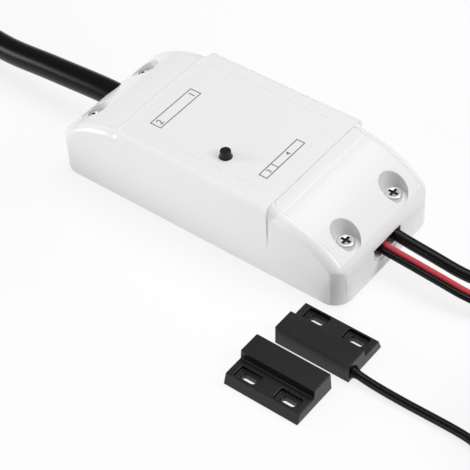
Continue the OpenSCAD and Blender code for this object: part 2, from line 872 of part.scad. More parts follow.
module reed_blades() {
    up = (blade_t + blade_gap) / 2;
    color(steel) at_reed() for (s = [-1, 1]) translate([s * glass_l / 4, pocket_y, glass_z + s * up])
        cube([glass_l / 2 + blade_lap, blade_w, blade_t], center = true);
}

module magnet_housing() {
    color(black) at_magnet() sensor_housing();
}

module magnet_plate() {
    color(grey) at_magnet() sensor_plate();
}

module bar_magnet() {
    color(steel) at_magnet() translate([-pocket_l / 2 + magnet_in, pocket_in + 2 * fit, floor_t])
        cube([pocket_l - 2 * magnet_in, pocket_w - 4 * fit, pocket_top - floor_t - fit]);
}

module mains_lead() {
    color(black) tube(mains_line, mains_d, lead_sides);
}

module mains_coil() {
    color(black) tube(mains_coil_line, mains_d, coil_sides);
}

module mains_tail() {
    color(black) tube(mains_tail_line, mains_d, lead_sides);
}

// Band round a coil's bundle of turns, lying across its ring
module tie(at, r_in, r_out, d, high, angle) {
    long = r_out - r_in + d + 2 * tie_gap;
    tall = high + 2 * tie_gap;
    translate([at.x, at.y, 0]) rotate([0, 0, angle])
        translate([(r_in + r_out) / 2, 0, coil_z + high / 2]) difference() {
            cube([long + 2 * tie_t, tie_w, tall + 2 * tie_t], center = true);
            cube([long, tie_w + over, tall], center = true);
        }
}

module mains_tie() {
    color(grey) tie(mains_at, mains_in_r, mains_out_r, mains_d, mains_layer + mains_d, 180);
}

// Ribbed sleeve that narrows toward the lead
module strain_relief() {
    thin_r = mains_d / 2 + 0.3;
    thick_r = mains_d / 2 + 2;
    ribs = 7;
    rib_h = 0.5;
    step = relief_l / ribs;
    color(black) translate([relief_x, mains_exit.y, plug_z]) rotate([0, 90, 0]) {
        cylinder(h = relief_l, r1 = thin_r, r2 = thick_r);
        for (i = [0:ribs - 1]) translate([0, 0, (i + 0.2) * step])
            cylinder(h = step * 0.6, r = thin_r + (thick_r - thin_r) * (i + 0.8) / ribs + rib_h);
    }
}

module plug_body() {
    neck_w = mains_d + 6.8;
    face_l = 15;
    edge = 1.5;
    edge_r = 3.5;
    color(black) translate([relief_x + relief_l, mains_exit.y, plug_z]) intersection() {
        linear_extrude(plug_t, center = true) polygon([[0, -neck_w / 2],
            [plug_l - face_l, -plug_w / 2 + edge],
            [plug_l - edge, -plug_w / 2], [plug_l, -plug_w / 2 + edge], [plug_l, plug_w / 2 - edge],
            [plug_l - edge, plug_w / 2], [plug_l - face_l, plug_w / 2 - edge], [0, neck_w / 2]]);
        rotate([90, 0, 90]) linear_extrude(plug_l) round_rect(plug_w, plug_t, edge_r);
    }
}

module plug_pins() {
    color(steel) translate([relief_x + relief_l + plug_l, mains_exit.y, plug_z]) both_sides()
        translate([0, pin_pitch / 2, 0]) rotate([0, 90, 0]) {
            cylinder(h = pin_l - pin_d / 2, d = pin_d);
            translate([0, 0, pin_l - pin_d / 2]) sphere(d = pin_d);
        }
}

module sensor_lead() {
    color(black) tube(cable_line, cable_d, cable_sides);
}

module sensor_coil() {
    color(black) tube(cable_coil_line, cable_d, coil_sides);
}

module sensor_tie() {
    high = (cable_layers - 1) * cable_layer + cable_d;
    color(grey) tie(cable_at, cable_in_r, cable_out_r, cable_d, high, 0);
}

module reed_lead() {
    color(black) tube(reed_line, cable_d, cable_sides);
}

module red_wire() {
    color([0.75, 0.12, 0.16]) tube(wire_line(1), wire_d, cable_sides);
}

module black_wire() {
    color(black) tube(wire_line(-1), wire_d, cable_sides);
}

module bare_ends() {
    last = len(pair_line) - 1;
    way = heading(pair_line, last);
    color(steel) for (s = [-1, 1])
        translate(shifted(pair_line, s * pair_gap / 2)[last]) rotate([0, 90, atan2(way.y, way.x)])
            cylinder(h = bare_l, d = strand_d);
}

upper_case();
base_plate();
input_cover();
output_cover();
cover_screws();
circuit_board();
relay();
transformer();
input_capacitor();
output_capacitor();
film_capacitor();
varistor();
radio_module();
radio_shield();
status_lamp();
input_terminal();
output_terminal();
terminal_screws();
sensor_socket();
mains_cores();
switch_body();
switch_dome();
switch_plate();
button();
reed_housing();
reed_plate();
reed_glass();
reed_blades();
magnet_housing();
magnet_plate();
bar_magnet();
mains_lead();
mains_coil();
mains_tie();
mains_tail();
strain_relief();
plug_body();
plug_pins();
sensor_lead();
sensor_coil();
sensor_tie();
reed_lead();
red_wire();
black_wire();
bare_ends();
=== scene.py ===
"""Garage door controller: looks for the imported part, laid out as an add-on."""

import math

import bmesh
import bpy
from bpy.props import FloatProperty, FloatVectorProperty, PointerProperty
from mathutils import Matrix, Vector


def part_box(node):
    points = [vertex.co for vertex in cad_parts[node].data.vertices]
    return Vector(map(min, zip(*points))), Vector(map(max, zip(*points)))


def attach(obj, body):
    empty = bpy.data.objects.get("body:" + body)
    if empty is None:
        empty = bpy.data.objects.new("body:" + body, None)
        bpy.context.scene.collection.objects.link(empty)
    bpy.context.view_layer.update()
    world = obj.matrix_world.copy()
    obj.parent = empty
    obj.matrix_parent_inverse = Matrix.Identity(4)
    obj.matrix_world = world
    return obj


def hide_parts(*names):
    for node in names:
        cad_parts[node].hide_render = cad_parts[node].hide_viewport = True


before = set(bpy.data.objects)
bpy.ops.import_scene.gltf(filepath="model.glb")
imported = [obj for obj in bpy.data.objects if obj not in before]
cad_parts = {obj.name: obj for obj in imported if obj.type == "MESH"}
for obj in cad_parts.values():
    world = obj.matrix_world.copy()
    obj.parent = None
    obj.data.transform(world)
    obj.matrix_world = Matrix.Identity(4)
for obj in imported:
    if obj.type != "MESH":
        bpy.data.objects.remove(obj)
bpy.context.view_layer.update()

bl_info = {
    "name": "Garage door controller",
    "version": (1, 0, 0),
    "blender": (4, 5, 0),
    "location": "View3D > Sidebar > Controller",
    "description": "Dresses a garage door controller with its sensor pair and cords",
    "category": "Object",
}

MM = 0.001
ROOT = "controller"

# Levels within NEAR, in millimetres, count as one. Points within JOIN or TINY, in metres, are joined.
# Angles are in degrees.
NEAR = 0.01
JOIN = 2e-6
TINY = 1e-7
FLAT_ANGLE = 0.05
SHARP_ANGLE = 32
SMOOTH_ANGLE = 35


# Cord routes, in millimetres, as in the part's source

TIE_GAP = 0.2
TIE_T = 0.6
COIL_Z = 2 * TIE_GAP + TIE_T
LAYER_GAP = 0.5
MAINS_D = 6.9
CABLE_D = 3.0
WIRE_D = 1.65
BARE_L = 7.0
PAIR_GAP = WIRE_D + 0.1
WAY_PITCH = 3.5
PLUG_T = 13.7
PLUG_Z = PLUG_T / 2 + TIE_GAP
TAIL_L = 12
AHEAD = Vector((2, 0, 0))

# Points for each turn of a coil and each stretch of a route, the share of a turn between two layers, and the
# share that keeps a coil's last point inside its last layer
COIL_STEPS = 48
ROUTE_STEPS = 8
TAIL_STEPS = 4
START_STEPS = 6
CROSSING = 0.5
COIL_STOP = 0.0001

MAINS_COIL = {"at": Vector((-158, -20, 0)), "r_in": 28, "pitch": MAINS_D + 1.7, "loops": 1.5, "layers": 2,
              "top": COIL_Z + MAINS_D / 2 + MAINS_D + LAYER_GAP,
              "rise": -(MAINS_D + LAYER_GAP), "turn": 1}
CABLE_COIL = {"at": Vector((112, -16, 0)), "r_in": 10, "pitch": CABLE_D + 1, "loops": 3.5, "layers": 4,
              "top": COIL_Z + CABLE_D / 2 + 3 * (CABLE_D + LAYER_GAP),
              "rise": -(CABLE_D + LAYER_GAP), "turn": -1}


def coil_ends(coil, diameter):
    """The points where a cord enters a coil's top layer and leaves its lowest one."""
    side = coil["turn"] * diameter
    r_out = coil["r_in"] + coil["loops"] * coil["pitch"]
    entry = coil["at"] + Vector((side, r_out, coil["top"]))
    return entry, coil["at"] + Vector((side, -r_out, COIL_Z + diameter / 2))


MAINS_ENTRY, MAINS_EXIT = coil_ends(MAINS_COIL, MAINS_D)
CABLE_ENTRY, CABLE_EXIT = coil_ends(CABLE_COIL, CABLE_D)
RELIEF_END = Vector((MAINS_EXIT.x + TAIL_L, MAINS_EXIT.y, PLUG_Z))
SHEATH_END = Vector((-37, 1.5, 10.4))
SOCKET_END = Vector((34.3, 5.2, 8.4))
REED_END = Vector((55.7, -33.3, 1.9))

MAINS_ROUTE = [SHEATH_END - AHEAD, (-48, 1.5, 10.3), (-65, 1.5, 9.1), (-84, 1.9, 7.5), (-104, 5, 7.8),
               (-122, 11.5, 9.4), (-138, 18, 11.2), MAINS_ENTRY + AHEAD]
TAIL_ROUTE = [MAINS_EXIT, MAINS_EXIT + AHEAD, (MAINS_EXIT + RELIEF_END) / 2, RELIEF_END - AHEAD, RELIEF_END]
CABLE_ROUTE = [SOCKET_END + AHEAD, (39, 4.4, 8.1), (44, 3.5, 7.6), (54, 3.6, 6.3), (64, 4, 5), (75, 5.7, 4.8),
               (86, 8.2, 4.8), (95, 9.3, 7.2), (102, 8.9, 11), CABLE_ENTRY - AHEAD]
REED_ROUTE = [CABLE_EXIT - AHEAD, (102, -39.6, 2.2), (97, -37.7, 1.7), (91.5, -34.7, 1.3), (86, -33.6, 1.2),
              (71, -33.6, 1.2), (63, -33.5, 1.4), REED_END + AHEAD]
PAIR_ROUTE = [(44, -1.4, 7), (52, -1.4, 6.4), (60, -1.4, 5.7), (67, -1.2, 4.9), (74, 0.8, 3.2),
              (80.5, 4.9, 1.9), (86.5, 10.6, 1.3), (93.5, 16.5, 1.2), (102, 20.2, 1.2), (112, 21.4, 1.2),
              (122, 19.6, 1.2), (131.5, 14.2, 1.2), (138.6, 6, 1.2), (142.4, -4.5, 1.2), (142.8, -15.5, 1.2),
              (140.4, -26.5, 1.2), (134.8, -36.5, 1.2), (126.5, -44, 1.2)]

# The sensor cable is slim in front of LEAD_FRONT, on its way from the coil to the reed switch
LEAD_SLIM = 0.72
LEAD_FRONT = -31
LEAD_COIL_X = 101
LEAD_TAPER = 8
REED_FACE_X = 57.7
LEAD_FLARE = 1.2


def smooth_line(points, steps):
    """Points of a smooth line through a route."""
    p = [Vector(q) for q in points]
    last = len(p) - 1
    line = []
    for i in range(last):
        a, b, c, d = p[max(i - 1, 0)], p[i], p[i + 1], p[min(i + 2, last)]
        square = 2 * a - 5 * b + 4 * c - d
        cube = 3 * b - a - 3 * c + d
        for k in range(steps):
            t = k / steps
            line.append(b + 0.5 * t * ((c - a) + t * (square + t * cube)))
    return line + [p[last]]


def fade(value, full, none):
    """A smooth change from 1 at one value to 0 at another."""
    t = min(max((value - none) / (full - none), 0), 1)
    return t * t * (3 - 2 * t)


def coil_line(at, r_in, pitch, loops, layers, top, rise, turn):
    """Points of a coil that spirals in and out by layers, from its north side."""
    r_out = r_in + loops * pitch
    turns = layers * loops + (layers - 1) * CROSSING
    line = []
    for i in range(round(COIL_STEPS * turns) + 1):
        t = min(i / COIL_STEPS, turns - COIL_STOP)
        layer = math.floor(t / (loops + CROSSING))
        part = t - layer * (loops + CROSSING)
        first, last = (r_in, r_out) if layer % 2 else (r_out, r_in)
        r = first + (last - first) * min(part / loops, 1)
        a = math.radians(90) + turn * math.tau * t
        z = top + rise * (layer + fade(part, loops + CROSSING, loops))
        line.append(Vector((at.x + r * math.cos(a), at.y + r * math.sin(a), z)))
    return line


def beside(line, by):
    """A line at a level distance to the left of another."""
    out = []
    for i, p in enumerate(line):
        h = line[min(i + 1, len(line) - 1)] - line[max(i - 1, 0)]
        out.append(p + by * Vector((-h.y, h.x, 0)).normalized())
    return out


def wire_start(side):
    """First points of an output wire, from its terminal towards the opening."""
    way = side * WAY_PITCH / 2
    return [(31.2, way, 8.4), (35.2, way, 8.4), (39.5, side * 1.2 - 0.7, 7.7)]


def lead_width(p):
    """Share of the sensor cable's diameter at a point."""
    if p[1] > LEAD_FRONT:
        return 1
    at_coil = fade(p[0], LEAD_COIL_X, LEAD_COIL_X - LEAD_TAPER)
    at_reed = fade(p[0], REED_FACE_X, REED_FACE_X + LEAD_FLARE)
    return LEAD_SLIM + (1 - LEAD_SLIM) * max(at_coil, at_reed)


# Settings

def color_property(name, description, default):
    """A colour that a user may change."""
    return FloatVectorProperty(name=name, description=description, subtype="COLOR", size=3, min=0, max=1,
                               default=default)


class CaseSettings(bpy.types.PropertyGroup):
    """Colours and edges of the case and what is fixed to it."""

    white: color_property("White", "Colour of the moulded case", (0.82, 0.82, 0.82))
    gloss: FloatProperty(name="Roughness", description="Roughness of the case", min=0, max=1,
                         default=0.42, subtype="FACTOR")
    edge: FloatProperty(name="Edge", description="Rounding of the rims of the wells and openings",
                        subtype="DISTANCE", unit="LENGTH", min=0, default=0.0002)
    steel: color_property("Steel", "Colour of the screws", (0.7, 0.7, 0.71))
    # Near-black painted shade inside each screw's cross, in place of the lit steel there
    painted_cross_shade: color_property("Recess", "Colour inside a screw's cross", (0.02, 0.02, 0.02))
    button: color_property("Button", "Colour of the button", (0.008, 0.008, 0.009))
    ink: color_property("Ink", "Colour of the marks on the lid", (0.16, 0.16, 0.165))


class SensorSettings(bpy.types.PropertyGroup):
    """Colours and edges of the reed switch and its magnet."""

    black: color_property("Housing", "Colour of the two housings", (0.0035, 0.0035, 0.004))
    edge: FloatProperty(name="Edge", description="Rounding of the housings' edges", subtype="DISTANCE",
                        unit="LENGTH", min=0, default=0.0002)


class CordSettings(bpy.types.PropertyGroup):
    """Colours and sizes of the cords."""

    sheath: color_property("Sheath", "Colour of the leads", (0.002, 0.002, 0.0023))
    red: color_property("Red wire", "Colour of the red wire", (0.62, 0.018, 0.04))
    mains_length: FloatProperty(name="Mains lead", description="Length of the mains lead", subtype="DISTANCE",
                                unit="LENGTH", min=0.1, default=0.88)
    sensor_length: FloatProperty(name="Sensor cable", description="Length of the sensor cable",
                                 subtype="DISTANCE", unit="LENGTH", min=0.1, default=1.77)
    pair_length: FloatProperty(name="Output wires", description="Length of each output wire",
                               subtype="DISTANCE", unit="LENGTH", min=0.05, default=0.174)


class StageSettings(bpy.types.PropertyGroup):
    """Camera and floor."""

    lens: FloatProperty(name="Lens", description="Focal length of the camera", min=10, default=131.34,
                        subtype="DISTANCE_CAMERA")
    azimuth: FloatProperty(name="Azimuth", description="Turn of the camera about the case", subtype="ANGLE",
                           default=math.radians(40.775))
    elevation: FloatProperty(name="Elevation", description="Height angle of the camera", subtype="ANGLE",
                             default=math.radians(45.274))
    roll: FloatProperty(name="Roll", description="Turn of the camera about its own line of sight",
                        subtype="ANGLE", default=math.radians(-4.043))
    distance: FloatProperty(name="Distance", description="Distance of the camera", subtype="DISTANCE",
                            unit="LENGTH", min=0.1, default=0.4325)
    floor: color_property("Floor", "Colour of the floor", (0.95, 0.95, 0.95))


# Shared effects

BROAD_SCALE = 60.0


def new_group(name, inputs, outputs):
    """An empty shader node group with named sockets."""
    group = bpy.data.node_groups.new(name, "ShaderNodeTree")
    for label, kind in inputs:
        group.interface.new_socket(name=label, in_out="INPUT", socket_type="NodeSocket" + kind)
    for label, kind in outputs:
        group.interface.new_socket(name=label, in_out="OUTPUT", socket_type="NodeSocket" + kind)
    return group, group.nodes.new("NodeGroupInput"), group.nodes.new("NodeGroupOutput")


def noise(nodes, links, vector, scale, detail=3.0, scale_from=None):
    """A noise texture that reads the given vector."""
    n = nodes.new("ShaderNodeTexNoise")
    n.inputs["Scale"].default_value = scale
    n.inputs["Detail"].default_value = detail
    links.new(vector, n.inputs["Vector"])
    if scale_from:
        links.new(scale_from, n.inputs["Scale"])
    return n


def math_node(nodes, links, operation, a, b):
    """A math node, with each input a socket or a number."""
    n = nodes.new("ShaderNodeMath")
    n.operation = operation
    for socket, value in zip(n.inputs, (a, b)):
        if isinstance(value, (int, float)):
            socket.default_value = value
        else:
            links.new(value, socket)
    return n.outputs[0]


def moulded_group():
    """Fine moulded grain with a slow change of tone, for plastic, rubber and metal."""
    if "moulded_surface" in bpy.data.node_groups:
        return bpy.data.node_groups["moulded_surface"]
    group, start, end = new_group(
        "moulded_surface",
        [("Vector", "Vector"), ("Color", "Color"), ("Mottle", "Float"), ("Grain Scale", "Float"),
         ("Roughness", "Float"), ("Roughness Change", "Float")],
        [("Color", "Color"), ("Roughness", "Float"), ("Height", "Float")])
    nodes, links = group.nodes, group.links
    broad = noise(nodes, links, start.outputs["Vector"], BROAD_SCALE)
    fine = noise(nodes, links, start.outputs["Vector"], 1.0, 2.0, start.outputs["Grain Scale"])
    centred = math_node(nodes, links, "SUBTRACT", broad.outputs["Fac"], 0.5)
    tone = math_node(nodes, links, "MULTIPLY", centred, start.outputs["Mottle"])
    value = math_node(nodes, links, "ADD", tone, 1.0)
    mix = nodes.new("ShaderNodeVectorMath")
    mix.operation = "SCALE"
    links.new(start.outputs["Color"], mix.inputs[0])
    links.new(value, mix.inputs["Scale"])
    links.new(mix.outputs[0], end.inputs["Color"])
    fine_centred = math_node(nodes, links, "SUBTRACT", fine.outputs["Fac"], 0.5)
    change = math_node(nodes, links, "MULTIPLY", fine_centred, start.outputs["Roughness Change"])
    rough = math_node(nodes, links, "ADD", change, start.outputs["Roughness"])
    links.new(rough, end.inputs["Roughness"])
    links.new(fine.outputs["Fac"], end.inputs["Height"])
    return group


def finish_of(name, color, roughness, grain, depth, mottle, metallic=0.0, change=0.12, specular=0.5,
              transmission=0.0):
    """A material with the moulded grain.

    grain is the scale of its fine noise, depth the height of its bumps in millimetres, mottle its change of
    tone, and change that of its roughness.
    """
    if name in bpy.data.materials:
        return bpy.data.materials[name]
    mat = bpy.data.materials.new(name)
    mat.use_nodes = True
    nodes, links = mat.node_tree.nodes, mat.node_tree.links
    shader = nodes["Principled BSDF"]
    shader.inputs["Metallic"].default_value = metallic
    shader.inputs["Specular IOR Level"].default_value = specular
    shader.inputs["Transmission Weight"].default_value = transmission
    place = nodes.new("ShaderNodeTexCoord")
    surface = nodes.new("ShaderNodeGroup")
    surface.node_tree = moulded_group()
    links.new(place.outputs["Object"], surface.inputs["Vector"])
    surface.inputs["Color"].default_value = (*color[:3], 1)
    surface.inputs["Mottle"].default_value = mottle
    surface.inputs["Grain Scale"].default_value = grain
    surface.inputs["Roughness"].default_value = roughness
    surface.inputs["Roughness Change"].default_value = change
    links.new(surface.outputs["Color"], shader.inputs["Base Color"])
    links.new(surface.outputs["Roughness"], shader.inputs["Roughness"])
    bump = nodes.new("ShaderNodeBump")
    bump.inputs["Strength"].default_value = 1.0
    bump.inputs["Distance"].default_value = depth * MM
    links.new(surface.outputs["Height"], bump.inputs["Height"])
    links.new(bump.outputs["Normal"], shader.inputs["Normal"])
    return mat


# Making pieces

def dress(names, material):
    """Gives CAD nodes a material."""
    for name in names:
        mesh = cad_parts[name].data
        mesh.materials.clear()
        mesh.materials.append(material)


def add_object(name, data, materials, body=ROOT):
    """Links a finished piece, gives it its materials, and sets it on a body."""
    piece = bpy.data.objects.new(name, data)
    bpy.context.scene.collection.objects.link(piece)
    for material in materials:
        data.materials.append(material)
    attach(piece, body)
    return piece


def is_sharp(edge, degrees):
    """True for an edge whose two faces meet at more than an angle."""
    return len(edge.link_faces) == 2 and edge.calc_face_angle(0) > math.radians(degrees)


def mesh_of(bm, name, smooth=SMOOTH_ANGLE):
    """Turns a bmesh into a mesh that is smooth up to an angle in degrees."""
    bm.normal_update()
    for face in bm.faces:
        face.smooth = True
    for edge in bm.edges:
        edge.smooth = not is_sharp(edge, smooth)
    mesh = bpy.data.meshes.new(name)
    bm.to_mesh(mesh)
    bm.free()
    return mesh


def node_copy(node):
    """A bmesh of a CAD node with its loose triangles joined into faces."""
    bm = bmesh.new()
    bm.from_mesh(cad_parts[node].data)
    bmesh.ops.remove_doubles(bm, verts=bm.verts, dist=JOIN)
    bmesh.ops.dissolve_limit(bm, angle_limit=math.radians(FLAT_ANGLE), verts=bm.verts, edges=bm.edges)
    return bm


def soften(bm, edges, width, segments=3):
    """Rounds some edges of a bmesh."""
    bmesh.ops.bevel(bm, geom=edges, offset=width, offset_type="OFFSET", segments=segments, profile=0.5,
                    affect="EDGES", clamp_overlap=False, material=-1)


def slice_across(bm, axis, places):
    """Cuts a bmesh's faces at places along an axis, and keeps both sides."""
    normal = Vector([1 if i == axis else 0 for i in range(3)])
    for place in places:
        geometry = bm.verts[:] + bm.edges[:] + bm.faces[:]
        bmesh.ops.bisect_plane(bm, geom=geometry, dist=TINY, plane_co=normal * place * MM, plane_no=normal)


def stand_for(node, bm, materials, body=ROOT):
    """Makes a bmesh the piece that stands for a CAD node, with its large faces shaded flat."""
    piece = add_object(node + "_moulding", mesh_of(bm, node + "_moulding"), materials, body)
    piece.modifiers.new("flat_faces", "WEIGHTED_NORMAL").keep_sharp = True
    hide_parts(node)
    return piece


def softened(node, width, materials, body=ROOT):
    """A copy of a CAD node with rounded edges, which stands for it."""
    bm = node_copy(node)
    soften(bm, [e for e in bm.edges if is_sharp(e, SHARP_ANGLE)], width)
    return stand_for(node, bm, materials, body)


def cord_curve(name, line, diameter, material, sides, width_at=None):
    """A round cord along points in millimetres. width_at gives a share of its diameter at a point."""
    curve = bpy.data.curves.new(name, "CURVE")
    curve.dimensions = "3D"
    curve.bevel_depth = diameter / 2 * MM
    curve.bevel_resolution = sides
    curve.use_fill_caps = True
    spline = curve.splines.new("POLY")
    spline.points.add(len(line) - 1)
    for point, p in zip(spline.points, line):
        point.co = (*(Vector(p) * MM), 1)
        point.radius = width_at(p) if width_at else 1
    spline.use_smooth = True
    return add_object(name, curve, [material])


# Operators

class BuildStage(bpy.types.Operator):
    """Makes the floor, the lights and the camera"""

    bl_idname = "garage.build_stage"
    bl_label = "Stage"

    # In metres and watts, but the camera's sensor and its shift in its own plane in millimetres
    FLOOR_HALF = 4
    FLOOR_DROP = 0.0001
    FLOOR_ROUGHNESS = 0.6
    GLOW = 0.82
    SURROUND = 0.25
    LAMPS = (("left", (-0.5, -0.3, 0.12), 0.2, 1.35),
             ("front", (-0.2, -0.6, 0.1), 0.3, 0.8),
             ("top", (0.1, 0.3, 1.1), 0.9, 7.5),
             ("right", (0.4, 0.12, 0.3), 0.2, 0.65))
    SENSOR_W = 36
    CLIP = 0.01
    EYE_ACROSS = -2.749
    EYE_UP = -10.57

    def execute(self, context):
        settings = context.scene.garage_stage
        self.floor(context, settings.floor)
        self.lights(context)
        self.camera(context, settings)
        return {"FINISHED"}

    def floor(self, context, color):
        """A plain floor just below the object."""
        bm = bmesh.new()
        bmesh.ops.create_grid(bm, x_segments=1, y_segments=1, size=self.FLOOR_HALF)
        bmesh.ops.translate(bm, verts=bm.verts, vec=(0, 0, -self.FLOOR_DROP))
        mesh = bpy.data.meshes.new("floor")
        bm.to_mesh(mesh)
        bm.free()
        mesh.materials.append(self.floor_material(color))
        floor = bpy.data.objects.new("floor", mesh)
        context.scene.collection.objects.link(floor)

    def floor_material(self, color):
        """A pale floor that is nearly white where it is seen, and lights the object by its colour alone."""
        mat = bpy.data.materials.new("pale_floor")
        mat.use_nodes = True
        nodes, links = mat.node_tree.nodes, mat.node_tree.links
        shader = nodes["Principled BSDF"]
        shader.inputs["Base Color"].default_value = (*color, 1)
        shader.inputs["Roughness"].default_value = self.FLOOR_ROUGHNESS
        glow = nodes.new("ShaderNodeEmission")
        glow.inputs["Color"].default_value = (1, 1, 1, 1)
        rays = nodes.new("ShaderNodeLightPath").outputs
        seen = math_node(nodes, links, "MAXIMUM", rays["Is Camera Ray"], rays["Is Glossy Ray"])
        seen = math_node(nodes, links, "MAXIMUM", seen, rays["Is Transmission Ray"])
        share = math_node(nodes, links, "MULTIPLY", seen, self.GLOW)
        mix = nodes.new("ShaderNodeMixShader")
        links.new(share, mix.inputs[0])
        links.new(shader.outputs[0], mix.inputs[1])
        links.new(glow.outputs[0], mix.inputs[2])
        links.new(mix.outputs[0], nodes["Material Output"].inputs["Surface"])
        return mat

    def lights(self, context):
        """An even white surround, and soft lamps that point at the case."""
        world = context.scene.world or bpy.data.worlds.new("studio")
        context.scene.world = world
        world.use_nodes = True
        back = world.node_tree.nodes["Background"]
        back.inputs["Color"].default_value = (1, 1, 1, 1)
        back.inputs["Strength"].default_value = self.SURROUND
        for name, place, size, power in self.LAMPS:
            lamp = bpy.data.lights.new(name, "AREA")
            lamp.size = size
            lamp.energy = power
            obj = bpy.data.objects.new(name, lamp)
            obj.location = place
            obj.rotation_euler = (-Vector(place)).to_track_quat("-Z", "Y").to_euler()
            obj.visible_camera = False
            context.scene.collection.objects.link(obj)

    def camera(self, context, settings):
        """A camera turned about the case, moved in its own plane and rolled."""
        camera = bpy.data.cameras.new("camera")
        camera.lens = settings.lens
        camera.sensor_width = self.SENSOR_W
        camera.clip_start = self.CLIP
        a, e = settings.azimuth, settings.elevation
        back = Vector((math.sin(a) * math.cos(e), -math.cos(a) * math.cos(e), math.sin(e)))
        level = Vector((math.cos(a), math.sin(a), 0))
        upright = back.cross(level)
        eye = settings.distance * back + (self.EYE_ACROSS * level + self.EYE_UP * upright) * MM
        right = math.cos(settings.roll) * level + math.sin(settings.roll) * upright
        turn = Matrix((right, back.cross(right), back)).transposed().to_4x4()
        obj = bpy.data.objects.new("camera", camera)
        obj.matrix_world = Matrix.Translation(eye) @ turn
        context.scene.collection.objects.link(obj)
        context.scene.camera = obj
        context.scene.view_settings.view_transform = "Standard"


class BuildCords(bpy.types.Operator):
    """Lays the mains lead, the sensor cable and the output wires"""

    bl_idname = "garage.build_cords"
    bl_label = "Cords"

    MAINS_SIDES = 7
    CABLE_SIDES = 6
    WIRE_SIDES = 5

    def execute(self, context):
        settings = context.scene.garage_cords
        sheath = finish_of("cord_sheath", settings.sheath, roughness=0.3, grain=1800, depth=0.012, mottle=0.2,
                           specular=0.2)
        red = finish_of("wire_red", settings.red, roughness=0.36, grain=1800, depth=0.01, mottle=0.1,
                        specular=0.3)
        self.mains(settings, sheath)
        self.cable(settings, sheath)
        self.wire("red_wire", 1, settings, red, "wire_red")
        self.wire("black_wire", -1, settings, sheath, "cord_black")
        return {"FINISHED"}

    def mains(self, settings, sheath):
        """The mains lead, through its coil to the plug."""
        line = [SHEATH_END] + smooth_line(MAINS_ROUTE, ROUTE_STEPS)
        line += coil_line(**MAINS_COIL)
        line += smooth_line(TAIL_ROUTE, TAIL_STEPS)
        mains = cord_curve("mains_cord", line, MAINS_D, sheath, self.MAINS_SIDES)
        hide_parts("mains_lead", "mains_coil", "mains_tail")

    def cable(self, settings, sheath):
        """The sensor cable, through its coil to the reed switch."""
        line = [SOCKET_END] + smooth_line(CABLE_ROUTE, ROUTE_STEPS)
        line += coil_line(**CABLE_COIL)
        line += smooth_line(REED_ROUTE, ROUTE_STEPS) + [REED_END]
        cable = cord_curve("sensor_cable", line, CABLE_D, sheath, self.CABLE_SIDES, lead_width)
        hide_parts("sensor_lead", "sensor_coil", "reed_lead")

    def wire(self, name, side, settings, material, slot):
        """One output wire, from its terminal to its bare end."""
        outer = beside(smooth_line(PAIR_ROUTE, ROUTE_STEPS), side * PAIR_GAP / 2)
        line = smooth_line(wire_start(side) + outer[:1], START_STEPS)[:-1] + outer
        wire = cord_curve(name.replace("wire", "output_wire"), line, WIRE_D, material, self.WIRE_SIDES)
        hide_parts(name)


